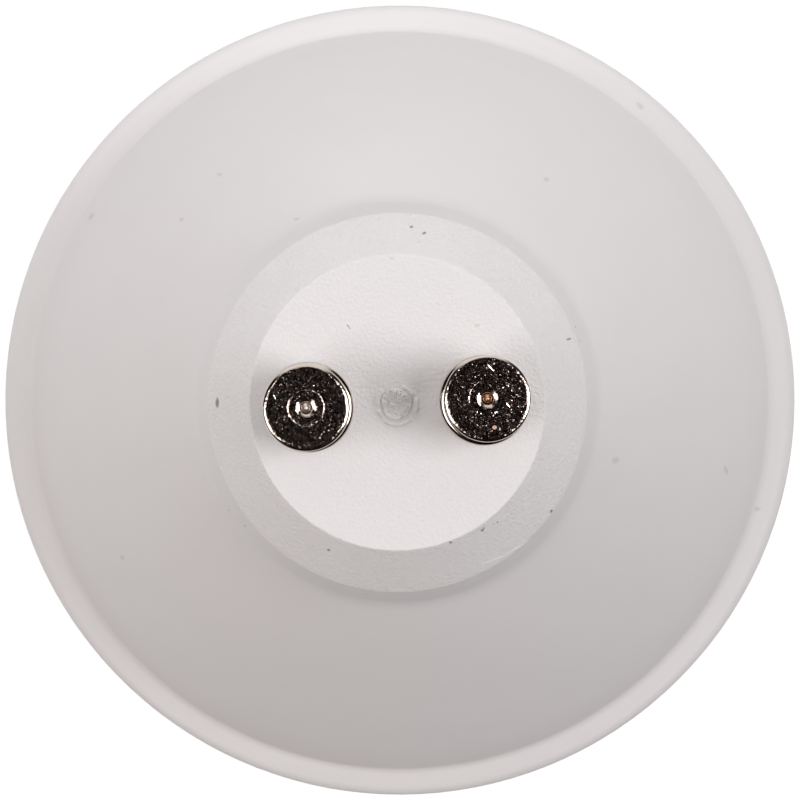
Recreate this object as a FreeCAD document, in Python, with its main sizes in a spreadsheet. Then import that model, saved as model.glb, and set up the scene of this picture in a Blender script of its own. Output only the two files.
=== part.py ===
import FreeCAD, Part
import math
import os
import re
import Sketcher

# An LED spotlight bulb with a two-pin twist-lock base. It stands on its front rim at height zero,
# with its axis along Z, its pins up and the pins in a row along X. All sizes are in millimetres.

# Driving dimensions, one cell each in the document's spreadsheet
SIZES = {
    # Outside of the moulded housing, from the rim at the front to the base that carries the pins
    "lamp_length": 54.0,
    "rim_radius": 25.0,
    "rim_height": 4.6,
    "rim_fall": 0.7,
    "rim_back_radius": 0.9,
    "rim_front_radius": 0.4,
    "rim_blend_radius": 0.8,
    "bowl_radius": 23.3,
    "bowl_bulge": 1.0,
    "neck_foot_radius": 11.7,
    "neck_length": 9.6,
    "neck_blend_radius": 6.0,
    "shoulder_radius": 10.8,
    "shoulder_edge_radius": 0.3,
    "bevel_height": 4.0,
    "base_radius": 8.3,
    "base_edge_radius": 0.1,
    # Inside of the housing
    "wall": 1.6,
    "base_wall": 2.5,
    "rim_wall": 2.05,
    "rail_thickness": 1.0,
    "rail_reach": 1.6,
    "rail_length": 8.4,
    # Mark of the injection gate in the middle of the base
    "gate_dimple_radius": 1.3,
    "gate_dimple_depth": 0.06,
    "gate_floor_radius": 0.95,
    "gate_stub_radius": 0.86,
    "gate_stub_height": 0.08,
    # Hollow contact pins
    "pin_spacing": 10.0,
    "pin_length": 7.0,
    "head_radius": 2.4,
    "head_height": 2.9,
    "head_edge_radius": 0.22,
    "head_under_radius": 0.25,
    "pin_neck_radius": 1.55,
    "pin_flange_radius": 2.5,
    "pin_flange_height": 0.5,
    "flange_edge_radius": 0.18,
    "pin_shank_radius": 1.6,
    "pin_flare_radius": 2.3,
    "pin_flare_height": 0.6,
    "pin_bore_radius": 0.95,
    "pin_tip_wall": 1.3,
    "tip_hole_radius": 0.3,
    "tip_edge_radius": 0.27,
    "crimp_ring_radius": 1.0,
    "crimp_ring_reach": 0.05,
    "crimp_ring_depth": 0.03,
    # Wires
    "wire_radius": 0.25,
    "wire_end_radius": 0.24,
    "wire_bend": 1.2,
    "wire_tail": 0.7,
    "wire_hole_gap": 0.1,
    "mains_wire_stub": 0.2,
    "mains_wire_drop": 4.0,
    "feed_wire_stub": 0.4,
    "feed_wire_spacing": 4.0,
    "feed_wire_rise": 1.2,
    # Aluminium heat sink and the disc that carries the light sources
    "sink_wall": 0.8,
    "seat_wall": 0.45,
    "seat_ledge": 1.2,
    "led_board_back": 7.0,
    "led_board_thickness": 1.0,
    "led_edge_gap": 6.7,
    "led_length": 3.5,
    "led_width": 2.8,
    "led_height": 0.7,
    "led_window_radius": 1.1,
    "led_window_depth": 0.12,
    "led_corner_cut": 0.5,
    # Front cover
    "cover_recess": 0.6,
    "cover_thickness": 1.5,
    "cover_edge_radius": 0.3,
    "snap_reach": 0.25,
    # Driver board
    "board_thickness": 1.0,
    "board_setback": 2.5,
    "board_side_gap": 0.45,
    "board_end_gap": 3.0,
    "tongue_half_width": 5.5,
    # Parts on the driver board
    "lead_radius": 0.3,
    "can_radius": 3.7,
    "can_length": 10.0,
    "can_edge_radius": 0.5,
    "can_groove_height": 1.6,
    "can_groove_depth": 0.3,
    "can_lead_pitch": 3.5,
    "can_drop": 18.6,
    "coil_flange_radius": 3.6,
    "coil_flange_height": 1.0,
    "coil_winding_radius": 3.1,
    "coil_height": 7.0,
    "coil_lead_pitch": 5.0,
    "coil_rise": 6.5,
    "fuse_radius": 1.2,
    "fuse_waist_radius": 0.95,
    "fuse_cap_length": 1.5,
    "fuse_length": 6.4,
    "fuse_pitch": 9.0,
    "fuse_standoff": 0.3,
    "fuse_drop": 9.0,
    "moulding_standoff": 0.1,
    "flat_lead_thickness": 0.2,
    "bridge_length": 4.7,
    "bridge_width": 3.9,
    "bridge_thickness": 2.4,
    "bridge_lead_pitch": 2.5,
    "bridge_lead_width": 0.7,
    "bridge_span": 6.4,
    "bridge_drop": 13.1,
    "chip_length": 4.9,
    "chip_width": 3.9,
    "chip_thickness": 1.5,
    "chip_lead_pitch": 1.27,
    "chip_lead_width": 0.4,
    "chip_span": 6.0,
    "diode_length": 2.6,
    "diode_width": 4.3,
    "diode_thickness": 2.1,
    "diode_lead_pitch": 1.4,
    "diode_lead_width": 1.4,
    "diode_span": 5.2,
    "diode_rise": 4.0,
    # Fit between pieces that slide together
    "fit_gap": 0.05,
}

# Heights and places that follow from the driving dimensions
PLACES = {
    "base_height": "lamp_length - pin_length",
    "base_inside": "base_height - base_wall",
    "shoulder_height": "base_height - bevel_height",
    "neck_foot_height": "shoulder_height - neck_length",
    "pin_side": "pin_spacing / 2",
    "base_inside_radius": "pin_side + pin_flare_radius + 4 * fit_gap",
    "neck_inside": "shoulder_radius - wall",
    "bowl_inside": "bowl_radius - wall",
    "cover_bore": "rim_radius - rim_wall",
    "cover_radius": "cover_bore - fit_gap",
    "cover_seat": "cover_recess + cover_thickness",
    "snap_height": "cover_recess + cover_thickness / 2",
    "sink_front_radius": "bowl_inside - fit_gap",
    "sink_back_radius": "neck_foot_radius - wall - fit_gap",
    "bowl_narrowing": "(bowl_radius - neck_foot_radius) / (neck_foot_height - rim_height)",
    "sink_seat_radius": "sink_front_radius - bowl_narrowing * (led_board_back - rim_height)",
    "led_board_radius": "sink_seat_radius - seat_wall - fit_gap",
    "led_board_front": "led_board_back - led_board_thickness",
    "led_ring_radius": "led_board_radius - led_edge_gap",
    "board_front": "0 - board_setback",
    "board_back": "0 - board_setback - board_thickness",
    "board_low": "led_board_back + board_end_gap",
    "board_half_width": "sqrt((neck_inside - board_side_gap)^2 - board_back^2)",
    "mains_wire_height": "base_inside - mains_wire_drop",
    "feed_wire_height": "board_low + feed_wire_rise",
    "lead_tail": "board_thickness + wire_tail",
    "lead_hole_radius": "lead_radius + wire_hole_gap",
    "wire_hole_radius": "wire_radius + wire_hole_gap",
    "part_side": "board_half_width / 2",
    "fuse_level": "base_inside - fuse_drop",
    "bridge_level": "base_inside - bridge_drop",
    "can_level": "base_inside - can_drop",
    "coil_level": "board_low + coil_rise",
    "chip_level": "(can_level + coil_level) / 2",
    "diode_level": "board_low + diode_rise",
}

LED_COUNT = 8

doc = FreeCAD.newDocument("spotlight_bulb")
sheet = doc.addObject("Spreadsheet::Sheet", "Sizes")
for row, (size_name, size_value) in enumerate(SIZES.items(), 1):
    sheet.set(f"A{row}", size_name)
    sheet.set(f"B{row}", str(size_value))
    sheet.setAlias(f"B{row}", size_name)
doc.recompute()


# Helpers that turn the sizes' names into expressions and draw with them

def bound(text):
    """The expression that another object uses for a formula in the names of sizes and places."""
    def written_out(match):
        word = match[0]
        if word in SIZES:
            return f"Sizes.{word}"
        if word in PLACES:
            return f"({bound(PLACES[word])})"
        return word
    return re.sub(r"[a-z][a-z_]*", written_out, text)


def at(text):
    """The present value of such a formula."""
    value = sheet.evalExpression(bound(text))
    return float(getattr(value, "Value", value))


def new_body(label):
    body = doc.addObject("PartDesign::Body", label)
    body.Label = label
    return body


def place(body, x="0", y="0", z="0", rotation=None):
    """Puts a body at a point whose coordinates stay bound to the sizes."""
    body.Placement = FreeCAD.Placement(FreeCAD.Vector(), rotation or FreeCAD.Rotation())
    for axis, text in zip("xyz", (x, y, z)):
        body.setExpression(f"Placement.Base.{axis}", bound(text))


def sketch_on(body, role, name, lift="0"):
    """An empty sketch on one of the body's own origin planes, lifted along the plane's normal."""
    sketch = body.newObject("Sketcher::SketchObject", name)
    plane = next(part for part in body.Origin.OriginFeatures if part.Role == role)
    sketch.AttachmentSupport = [(plane, "")]
    sketch.MapMode = "FlatFace"
    sketch.setExpression("AttachmentOffset.Base.z", bound(lift))
    return sketch


def tie(sketch, kind, references, text):
    """A dimension of the sketch, bound to a formula."""
    index = sketch.addConstraint(Sketcher.Constraint(kind, *references, at(text)))
    sketch.setExpression(f"Constraints[{index}]", bound(text))


def tie_point(sketch, geometry, end, point):
    tie(sketch, "DistanceX", (-1, 1, geometry, end), point[0])
    tie(sketch, "DistanceY", (-1, 1, geometry, end), point[1])


def vector(point):
    return FreeCAD.Vector(at(point[0]), at(point[1]), 0)


def add_arc(sketch, start, end, centre, radius):
    """An arc the short way from start to end. Returns it with its numbers for both ends."""
    turn = (start - centre).cross(end - centre).z
    first, last = (start, end) if turn > 0 else (end, start)
    angles = [math.atan2(point.y - centre.y, point.x - centre.x) for point in (first, last)]
    circle = Part.Circle(centre, FreeCAD.Vector(0, 0, 1), at(radius))
    geometry = sketch.addGeometry(Part.ArcOfCircle(circle, *angles))
    tie(sketch, "Radius", (geometry,), radius)
    return (geometry, 1, 2) if turn > 0 else (geometry, 2, 1)


def add_line(sketch, start, end):
    return sketch.addGeometry(Part.LineSegment(start, end)), 1, 2


def outline(sketch, corners, arcs=None):
    """A closed outline through corners. arcs gives some sides, by number, the height of an arc that
    swells to the right of the way that the outline runs, or to the left where left is true."""
    sides = []
    for number, corner in enumerate(corners):
        following = corners[(number + 1) % len(corners)]
        start, end = vector(corner), vector(following)
        if number not in (arcs or {}):
            sides.append(add_line(sketch, start, end))
            continue
        height, left = arcs[number]
        across = f"(({following[0]}) - ({corner[0]}))"
        up = f"(({following[1]}) - ({corner[1]}))"
        radius = f"({across}^2 + {up}^2 + 4 * ({height})^2) / (8 * ({height}))"
        run = end - start
        inward = FreeCAD.Vector(-run.y, run.x, 0).normalize() * (-1 if left else 1)
        centre = (start + end) / 2 + inward * (at(radius) - at(height))
        sides.append(add_arc(sketch, start, end, centre, radius))
    for number, (geometry, start_end, _) in enumerate(sides):
        before, _, before_end = sides[number - 1]
        sketch.addConstraint(Sketcher.Constraint("Coincident", before, before_end, geometry, start_end))
        tie_point(sketch, geometry, start_end, corners[number])


def bent_line(sketch, corners, bend):
    """An open line of square turns, each rounded by an arc tangent to its two runs."""
    chain = []
    start_text, start = corners[0], vector(corners[0])
    for before, corner, after in zip(corners, corners[1:], corners[2:]):
        turn = vector(corner)
        back = (vector(before) - turn).normalize()
        onward = (vector(after) - turn).normalize()
        run_end, arc_end = (
            [f"({corner[0]}) + {way.x:.0f} * ({bend})", f"({corner[1]}) + {way.y:.0f} * ({bend})"]
            for way in (back, onward)
        )
        chain.append((add_line(sketch, start, vector(run_end)), start_text, run_end))
        centre = turn + (back + onward) * at(bend)
        chain.append((add_arc(sketch, vector(run_end), vector(arc_end), centre, bend), None, None))
        start_text, start = arc_end, vector(arc_end)
    chain.append((add_line(sketch, start, vector(corners[-1])), start_text, corners[-1]))
    for (geometry, first, last), begin_text, end_text in chain:
        if begin_text:
            tie_point(sketch, geometry, first, begin_text)
            tie_point(sketch, geometry, last, end_text)
    for ((before, _, last), _, _), ((geometry, first, _), _, _) in zip(chain, chain[1:]):
        sketch.addConstraint(Sketcher.Constraint("Coincident", before, last, geometry, first))


def circle(sketch, x, y, radius):
    shape = Part.Circle(vector((x, y)), FreeCAD.Vector(0, 0, 1), at(radius))
    geometry = sketch.addGeometry(shape)
    tie_point(sketch, geometry, 3, (x, y))
    tie(sketch, "Radius", (geometry,), radius)


def rectangle(sketch, left, right, low, high):
    outline(sketch, [(left, low), (right, low), (right, high), (left, high)])


def wedge(sketch, radius, height, reach, rise):
    """The section of a sharp bead or groove: a lozenge that reaches to both sides, up and down."""
    corners = [
        (f"({radius}) - ({reach})", height),
        (radius, f"({height}) - ({rise})"),
        (f"({radius}) + {reach}", height),
        (radius, f"({height}) + {rise}"),
    ]
    outline(sketch, corners)


def add_feature(body, kind, profile, name):
    feature = body.newObject(f"PartDesign::{kind}", name)
    feature.Profile = profile
    return feature


def must_change(body, name, grows, build):
    """Makes a feature and raises an error if it left the body's volume as it was."""
    doc.recompute()
    before = body.Shape.Volume if body.Tip else 0.0
    build()
    doc.recompute()
    change = body.Shape.Volume - before
    if (change > 0) != grows or abs(change) < 1e-6:
        raise RuntimeError(f"{body.Label}: {name} changed the volume by {change:.6f}")


def revolve(body, profile, name, axis="V_Axis"):
    def build():
        feature = add_feature(body, "Revolution", profile, name)
        feature.ReferenceAxis = (profile, [axis])
        feature.Angle = 360
    must_change(body, name, True, build)


def groove(body, profile, name):
    def build():
        feature = add_feature(body, "Groove", profile, name)
        feature.ReferenceAxis = (profile, ["V_Axis"])
        feature.Angle = 360
    must_change(body, name, False, build)


def pad(body, profile, length, name, downward=False):
    def build():
        feature = add_feature(body, "Pad", profile, name)
        feature.setExpression("Length", bound(length))
        feature.Reversed = downward
    must_change(body, name, True, build)


def pocket(body, profile, depth, name, upward=False):
    def build():
        feature = add_feature(body, "Pocket", profile, name)
        feature.setExpression("Length", bound(depth))
        feature.Reversed = upward
    must_change(body, name, False, build)


def pipe(body, profile, path, name):
    def build():
        feature = add_feature(body, "AdditivePipe", profile, name)
        feature.Spine = path
    must_change(body, name, True, build)


def round_edge(body, radius, ring_radius, height, name):
    """Rounds the circular edge about the body's axis that has the given radius and height."""
    doc.recompute()
    base = body.Tip
    wanted = at(ring_radius), at(height)
    names = []
    for number, edge in enumerate(base.Shape.Edges, 1):
        curve = edge.Curve
        if isinstance(curve, Part.Circle) and math.dist(wanted, (curve.Radius, curve.Center.z)) < 1e-4:
            names.append(f"Edge{number}")
    if not names:
        raise RuntimeError(f"{body.Label}: {name} found no edge")
    fillet = body.newObject("PartDesign::Fillet", name)
    fillet.Base = (base, names)
    fillet.setExpression("Radius", bound(radius))
    doc.recompute()


# The white housing: rim, bowl, neck and bevelled base are one moulding, hollow inside

def make_housing():
    body = new_body("housing")
    section = sketch_on(body, "XZ_Plane", "housing_section")
    corners = [
        ("cover_bore", "0"),
        ("rim_radius", "0"),
        ("rim_radius", "rim_height - rim_fall"),
        ("bowl_radius", "rim_height"),
        ("neck_foot_radius", "neck_foot_height"),
        ("shoulder_radius", "shoulder_height"),
        ("base_radius", "base_height"),
        ("0", "base_height"),
        ("0", "base_inside"),
        ("base_inside_radius", "base_inside"),
        ("neck_inside", "shoulder_height"),
        ("neck_foot_radius - wall", "neck_foot_height"),
        ("bowl_inside", "rim_height"),
        ("bowl_inside", "cover_seat"),
        ("cover_bore", "cover_seat"),
    ]
    outline(section, corners, {3: ("bowl_bulge", False), 11: ("bowl_bulge", True)})
    revolve(body, section, "housing_shell")

    # Groove that the front cover snaps into
    snap = sketch_on(body, "XZ_Plane", "snap_section")
    wedge(snap, "cover_bore", "snap_height", "snap_reach + fit_gap", "snap_reach + fit_gap")
    groove(body, snap, "snap_groove")

    # Gate mark: a shallow dimple with the broken stub of the gate in it
    dimple = sketch_on(body, "XZ_Plane", "gate_dimple_section")
    dimple_low = "base_height - gate_dimple_depth"
    dimple_corners = [
        ("0", dimple_low),
        ("gate_floor_radius", dimple_low),
        ("gate_dimple_radius", "base_height"),
        ("0", "base_height"),
    ]
    outline(dimple, dimple_corners)
    groove(body, dimple, "gate_dimple")
    stub = sketch_on(body, "XY_Plane", "gate_stub_outline", dimple_low)
    circle(stub, "0", "0", "gate_stub_radius")
    pad(body, stub, "gate_stub_height", "gate_stub")

    # Holes for the pins
    holes = sketch_on(body, "XY_Plane", "pin_holes_outline", "base_height")
    for side in ("pin_side", "0 - pin_side"):
        circle(holes, side, "0", "pin_shank_radius + fit_gap")
    pocket(body, holes, "base_wall", "pin_holes")

    # Rails on both sides that guide the driver board, below the flares of the pins
    rails = sketch_on(body, "XY_Plane", "rails_outline", "base_inside - pin_flare_height - 2 * fit_gap")
    slots = [
        ("board_back - fit_gap - rail_thickness", "board_back - fit_gap"),
        ("board_front + fit_gap", "board_front + fit_gap + rail_thickness"),
    ]
    for low, high in slots:
        outer = f"sqrt((shoulder_radius - wall / 2)^2 - ({low})^2)"
        inner = "board_half_width - rail_reach"
        rectangle(rails, inner, outer, low, high)
        rectangle(rails, f"0 - {outer}", f"0 - ({inner})", low, high)
    pad(body, rails, "rail_length", "board_rails", downward=True)

    round_edge(body, "neck_blend_radius", "neck_foot_radius", "neck_foot_height", "neck_blend")
    round_edge(body, "shoulder_edge_radius", "shoulder_radius", "shoulder_height", "shoulder_edge")
    round_edge(body, "base_edge_radius", "base_radius", "base_height", "base_edge")
    round_edge(body, "rim_back_radius", "rim_radius", "rim_height - rim_fall", "rim_back_edge")
    round_edge(body, "rim_front_radius", "rim_radius", "0", "rim_front_edge")
    round_edge(body, "rim_blend_radius", "bowl_radius", "rim_height", "rim_blend")


# A contact pin: hollow, with a flange on the base, a waist, a head and a rolled flare inside

def make_pin(label, side, ringed):
    body = new_body(label)
    section = sketch_on(body, "XZ_Plane", f"{label}_section")
    flare_low = "0 - base_wall - pin_flare_height"
    corners = [
        ("pin_bore_radius", flare_low),
        ("pin_flare_radius", flare_low),
        ("pin_flare_radius", "0 - base_wall"),
        ("pin_shank_radius", "0 - base_wall"),
        ("pin_shank_radius", "0"),
        ("pin_flange_radius", "0"),
        ("pin_flange_radius", "pin_flange_height"),
        ("pin_neck_radius", "pin_flange_height"),
        ("pin_neck_radius", "pin_length - head_height"),
        ("head_radius", "pin_length - head_height"),
        ("head_radius", "pin_length"),
        ("tip_hole_radius", "pin_length"),
        ("tip_hole_radius", "pin_length - pin_tip_wall"),
        ("pin_bore_radius", "pin_length - pin_tip_wall - pin_bore_radius + tip_hole_radius"),
    ]
    outline(section, corners)
    revolve(body, section, f"{label}_turned")

    # Ring that the crimping tool has left around the hole of one pin
    if ringed:
        ring = sketch_on(body, "XZ_Plane", f"{label}_ring_section")
        wedge(ring, "crimp_ring_radius", "pin_length", "crimp_ring_reach", "crimp_ring_depth")
        groove(body, ring, f"{label}_crimp_ring")

    round_edge(body, "head_edge_radius", "head_radius", "pin_length", f"{label}_head_edge")
    under = "pin_length - head_height"
    round_edge(body, "head_under_radius", "head_radius", under, f"{label}_head_under")
    round_edge(body, "tip_edge_radius", "tip_hole_radius", "pin_length", f"{label}_tip_edge")
    round_edge(body, "flange_edge_radius", "pin_flange_radius", "pin_flange_height", f"{label}_flange_edge")
    place(body, side, "0", "base_height")


# A bare wire from a hole in the driver board to the lamp's axis plane, then straight up or down

def make_wire(label, side, height, end):
    body = new_body(label)
    route = sketch_on(body, "YZ_Plane", f"{label}_route")
    start = "board_back - wire_tail"
    bent_line(route, [(start, height), ("0", height), ("0", end)], "wire_bend")
    section = sketch_on(body, "XZ_Plane", f"{label}_section", f"0 - ({start})")
    circle(section, "0", height, "wire_radius")
    pipe(body, section, route, f"{label}_drawn")
    round_edge(body, "wire_end_radius", "wire_radius", end, f"{label}_end")
    place(body, side)


# The aluminium cup that takes the heat from the board with the light sources

def make_heat_sink():
    body = new_body("heat_sink")
    section = sketch_on(body, "XZ_Plane", "heat_sink_section")
    seat_radius = "led_board_radius + fit_gap"
    corners = [
        (seat_radius, "rim_height"),
        ("sink_front_radius", "rim_height"),
        ("sink_back_radius", "neck_foot_height"),
        ("sink_back_radius - sink_wall", "neck_foot_height"),
        ("led_board_radius - seat_ledge", "led_board_back"),
        (seat_radius, "led_board_back"),
    ]
    outline(section, corners, {1: ("bowl_bulge", False), 3: ("bowl_bulge", True)})
    revolve(body, section, "heat_sink_cup")


# The aluminium-core disc with the light sources, seated in the cup

def make_led_board():
    body = new_body("led_board")
    disc = sketch_on(body, "XY_Plane", "led_board_outline", "led_board_front")
    circle(disc, "0", "0", "led_board_radius")
    for side in ("feed_wire_spacing / 2", "0 - feed_wire_spacing / 2"):
        circle(disc, side, "0", "wire_hole_radius")
    pad(body, disc, "led_board_thickness", "led_board_disc")


def make_led(number):
    """A light source: a flat package with a round window and one corner cut to mark its polarity."""
    label = f"led_{number}"
    body = new_body(label)
    package = sketch_on(body, "XY_Plane", f"{label}_outline")
    half_length, half_width = "led_length / 2", "led_width / 2"
    corners = [
        (f"0 - {half_length}", f"0 - {half_width}"),
        (f"{half_length} - led_corner_cut", f"0 - {half_width}"),
        (half_length, f"0 - {half_width} + led_corner_cut"),
        (half_length, half_width),
        (f"0 - {half_length}", half_width),
    ]
    outline(package, corners)
    pad(body, package, "led_height", f"{label}_package", downward=True)
    window = sketch_on(body, "XY_Plane", f"{label}_window_outline", "0 - led_height")
    circle(window, "0", "0", "led_window_radius")
    pocket(body, window, "led_window_depth", f"{label}_window", upward=True)
    angle = 360 * (number - 0.5) / LED_COUNT
    turn = FreeCAD.Rotation(FreeCAD.Vector(0, 0, 1), angle + 90)
    across = f"led_ring_radius * cos({angle} deg)"
    along = f"led_ring_radius * sin({angle} deg)"
    place(body, across, along, "led_board_front", turn)


# The clear front cover, which snaps into the rim and stands back from its edge

def make_front_cover():
    body = new_body("front_cover")
    section = sketch_on(body, "XZ_Plane", "front_cover_section")
    corners = [
        ("0", "cover_recess"),
        ("cover_radius", "cover_recess"),
        ("cover_radius", "cover_seat"),
        ("0", "cover_seat"),
    ]
    outline(section, corners)
    revolve(body, section, "front_cover_disc")
    bead = sketch_on(body, "XZ_Plane", "snap_bead_section")
    wedge(bead, "cover_radius", "snap_height", "snap_reach", "snap_reach")
    revolve(body, bead, "snap_bead")
    round_edge(body, "cover_edge_radius", "cover_radius", "cover_recess", "front_cover_edge")


# The driver board, upright in the neck, with a tongue that stops on the inside of the base

def make_driver_board():
    body = new_body("driver_board")
    face = sketch_on(body, "XZ_Plane", "driver_board_outline", "0 - board_front")
    corners = [
        ("0 - board_half_width", "board_low"),
        ("board_half_width", "board_low"),
        ("board_half_width", "shoulder_height - board_side_gap"),
        ("tongue_half_width", "shoulder_height - board_side_gap"),
        ("tongue_half_width", "base_inside"),
        ("0 - tongue_half_width", "base_inside"),
        ("0 - tongue_half_width", "shoulder_height - board_side_gap"),
        ("0 - board_half_width", "shoulder_height - board_side_gap"),
    ]
    outline(face, corners)
    for sign in ("", "0 - "):
        circle(face, f"{sign}pin_side", "mains_wire_height", "wire_hole_radius")
        circle(face, f"{sign}feed_wire_spacing / 2", "feed_wire_height", "wire_hole_radius")
        circle(face, f"{sign}fuse_pitch / 2", "fuse_level", "lead_hole_radius")
        circle(face, "part_side", f"can_level + ({sign}can_lead_pitch / 2)", "lead_hole_radius")
        circle(face, "0 - part_side", f"coil_level + ({sign}coil_lead_pitch / 2)", "lead_hole_radius")
    pad(body, face, "board_thickness", "driver_board_sheet")


# Turns that lay a part's own Z axis along the front or the back of the driver board
FRONT_SIDE = FreeCAD.Rotation(FreeCAD.Vector(1, 0, 0), -90)
BACK_SIDE = FreeCAD.Rotation(FreeCAD.Vector(1, 0, 0), 90)


def add_leads(body, pitch):
    """Two straight leads, one above the other on the board, through it and out at its back."""
    leads = sketch_on(body, "XY_Plane", f"{body.Label}_leads_outline")
    for rise in (f"{pitch} / 2", f"0 - {pitch} / 2"):
        circle(leads, "0", rise, "lead_radius")
    pad(body, leads, "lead_tail", f"{body.Label}_leads", downward=True)


def make_bulk_capacitor():
    body = new_body("bulk_capacitor")
    section = sketch_on(body, "XZ_Plane", "can_section")
    outline(section, [("0", "0"), ("can_radius", "0"), ("can_radius", "can_length"), ("0", "can_length")])
    revolve(body, section, "can")
    crimp = sketch_on(body, "XZ_Plane", "can_crimp_section")
    wedge(crimp, "can_radius", "can_groove_height", "can_groove_depth", "can_groove_depth")
    groove(body, crimp, "can_crimp")
    round_edge(body, "can_edge_radius", "can_radius", "can_length", "can_top_edge")
    add_leads(body, "can_lead_pitch")
    place(body, "part_side", "board_front", "can_level", FRONT_SIDE)


def make_inductor():
    body = new_body("inductor")
    section = sketch_on(body, "XZ_Plane", "inductor_section")
    top_flange = "coil_height - coil_flange_height"
    corners = [
        ("0", "0"),
        ("coil_flange_radius", "0"),
        ("coil_flange_radius", "coil_flange_height"),
        ("coil_winding_radius", "coil_flange_height"),
        ("coil_winding_radius", top_flange),
        ("coil_flange_radius", top_flange),
        ("coil_flange_radius", "coil_height"),
        ("0", "coil_height"),
    ]
    outline(section, corners)
    revolve(body, section, "wound_core")
    add_leads(body, "coil_lead_pitch")
    place(body, "0 - part_side", "board_front", "coil_level", FRONT_SIDE)


def make_fuse_resistor():
    """A resistor with end caps that lies along the board, on one wire bent down into two holes."""
    body = new_body("fuse_resistor")
    drop = "fuse_radius + fuse_standoff + lead_tail"
    half_pitch, half_length = "fuse_pitch / 2", "fuse_length / 2"
    route = sketch_on(body, "XY_Plane", "fuse_wire_route")
    wire_corners = [
        (f"0 - {half_pitch}", f"0 - ({drop})"),
        (f"0 - {half_pitch}", "0"),
        (half_pitch, "0"),
        (half_pitch, f"0 - ({drop})"),
    ]
    bent_line(route, wire_corners, "fuse_standoff + lead_radius")
    wire = sketch_on(body, "XZ_Plane", "fuse_wire_section", drop)
    circle(wire, f"0 - {half_pitch}", "0", "lead_radius")
    pipe(body, wire, route, "fuse_wire")
    section = sketch_on(body, "XY_Plane", "fuse_section")
    cap_end = f"{half_length} - fuse_cap_length"
    corners = [
        (f"0 - {half_length}", "0"),
        (half_length, "0"),
        (half_length, "fuse_radius"),
        (cap_end, "fuse_radius"),
        (cap_end, "fuse_waist_radius"),
        (f"0 - ({cap_end})", "fuse_waist_radius"),
        (f"0 - ({cap_end})", "fuse_radius"),
        (f"0 - {half_length}", "fuse_radius"),
    ]
    outline(section, corners)
    revolve(body, section, "fuse_coating", "H_Axis")
    place(body, "0", "board_front + fuse_radius + fuse_standoff", "fuse_level")


def make_moulded_part(label, size, leads_on_a_side):
    """A moulded part on the back of the driver board, with leads down its two sides to flat feet."""
    body = new_body(label)
    side, end, top = f"{size}_width / 2", f"{size}_span / 2", f"{size}_length / 2"
    block = sketch_on(body, "XY_Plane", f"{label}_outline", "moulding_standoff")
    rectangle(block, f"0 - {side}", side, f"0 - {top}", top)
    pad(body, block, f"{size}_thickness", f"{label}_moulding")
    feet = sketch_on(body, "XY_Plane", f"{label}_feet_outline")
    legs = sketch_on(body, "XY_Plane", f"{label}_legs_outline")
    for lead in range(leads_on_a_side):
        middle = f"{lead - (leads_on_a_side - 1) / 2} * {size}_lead_pitch"
        low, high = f"{middle} - {size}_lead_width / 2", f"{middle} + {size}_lead_width / 2"
        rectangle(feet, side, end, low, high)
        rectangle(feet, f"0 - {end}", f"0 - {side}", low, high)
        rectangle(legs, side, f"{side} + flat_lead_thickness", low, high)
        rectangle(legs, f"0 - {side} - flat_lead_thickness", f"0 - {side}", low, high)
    pad(body, legs, f"moulding_standoff + {size}_thickness / 2", f"{label}_legs")
    pad(body, feet, "flat_lead_thickness", f"{label}_feet")
    place(body, "0", "board_back", f"{size}_level", BACK_SIDE)


def write_parts():
    """Checks every object of the document, then writes each piece to a file of its own."""
    doc.recompute()
    for item in doc.Objects:
        if {"Invalid", "Error"} & set(item.State):
            raise RuntimeError(f"{item.Label} is in state {item.State}")
    bodies = doc.findObjects("PartDesign::Body")
    for body in bodies:
        if body.Shape.isNull() or not body.Shape.isValid() or len(body.Shape.Solids) != 1:
            raise RuntimeError(f"{body.Label} is not one valid solid")
    os.makedirs("parts", exist_ok=True)
    for body in bodies:
        body.Shape.exportStep(f"parts/{body.Label}.step")


make_housing()
make_pin("contact_pin_left", "0 - pin_side", ringed=True)
make_pin("contact_pin_right", "pin_side", ringed=False)
mains_end = "lamp_length + mains_wire_stub"
make_wire("mains_wire_left", "0 - pin_side", "mains_wire_height", mains_end)
make_wire("mains_wire_right", "pin_side", "mains_wire_height", mains_end)
make_heat_sink()
make_led_board()
for led in range(1, LED_COUNT + 1):
    make_led(led)
feed_end = "led_board_front - feed_wire_stub"
make_wire("feed_wire_left", "0 - feed_wire_spacing / 2", "feed_wire_height", feed_end)
make_wire("feed_wire_right", "feed_wire_spacing / 2", "feed_wire_height", feed_end)
make_front_cover()
make_driver_board()
make_bulk_capacitor()
make_inductor()
make_fuse_resistor()
make_moulded_part("bridge_rectifier", "bridge", 2)
make_moulded_part("driver_chip", "chip", 4)
make_moulded_part("freewheel_diode", "diode", 1)
write_parts()
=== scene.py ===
import bpy
import math
from mathutils import Matrix, Vector, noise


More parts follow.
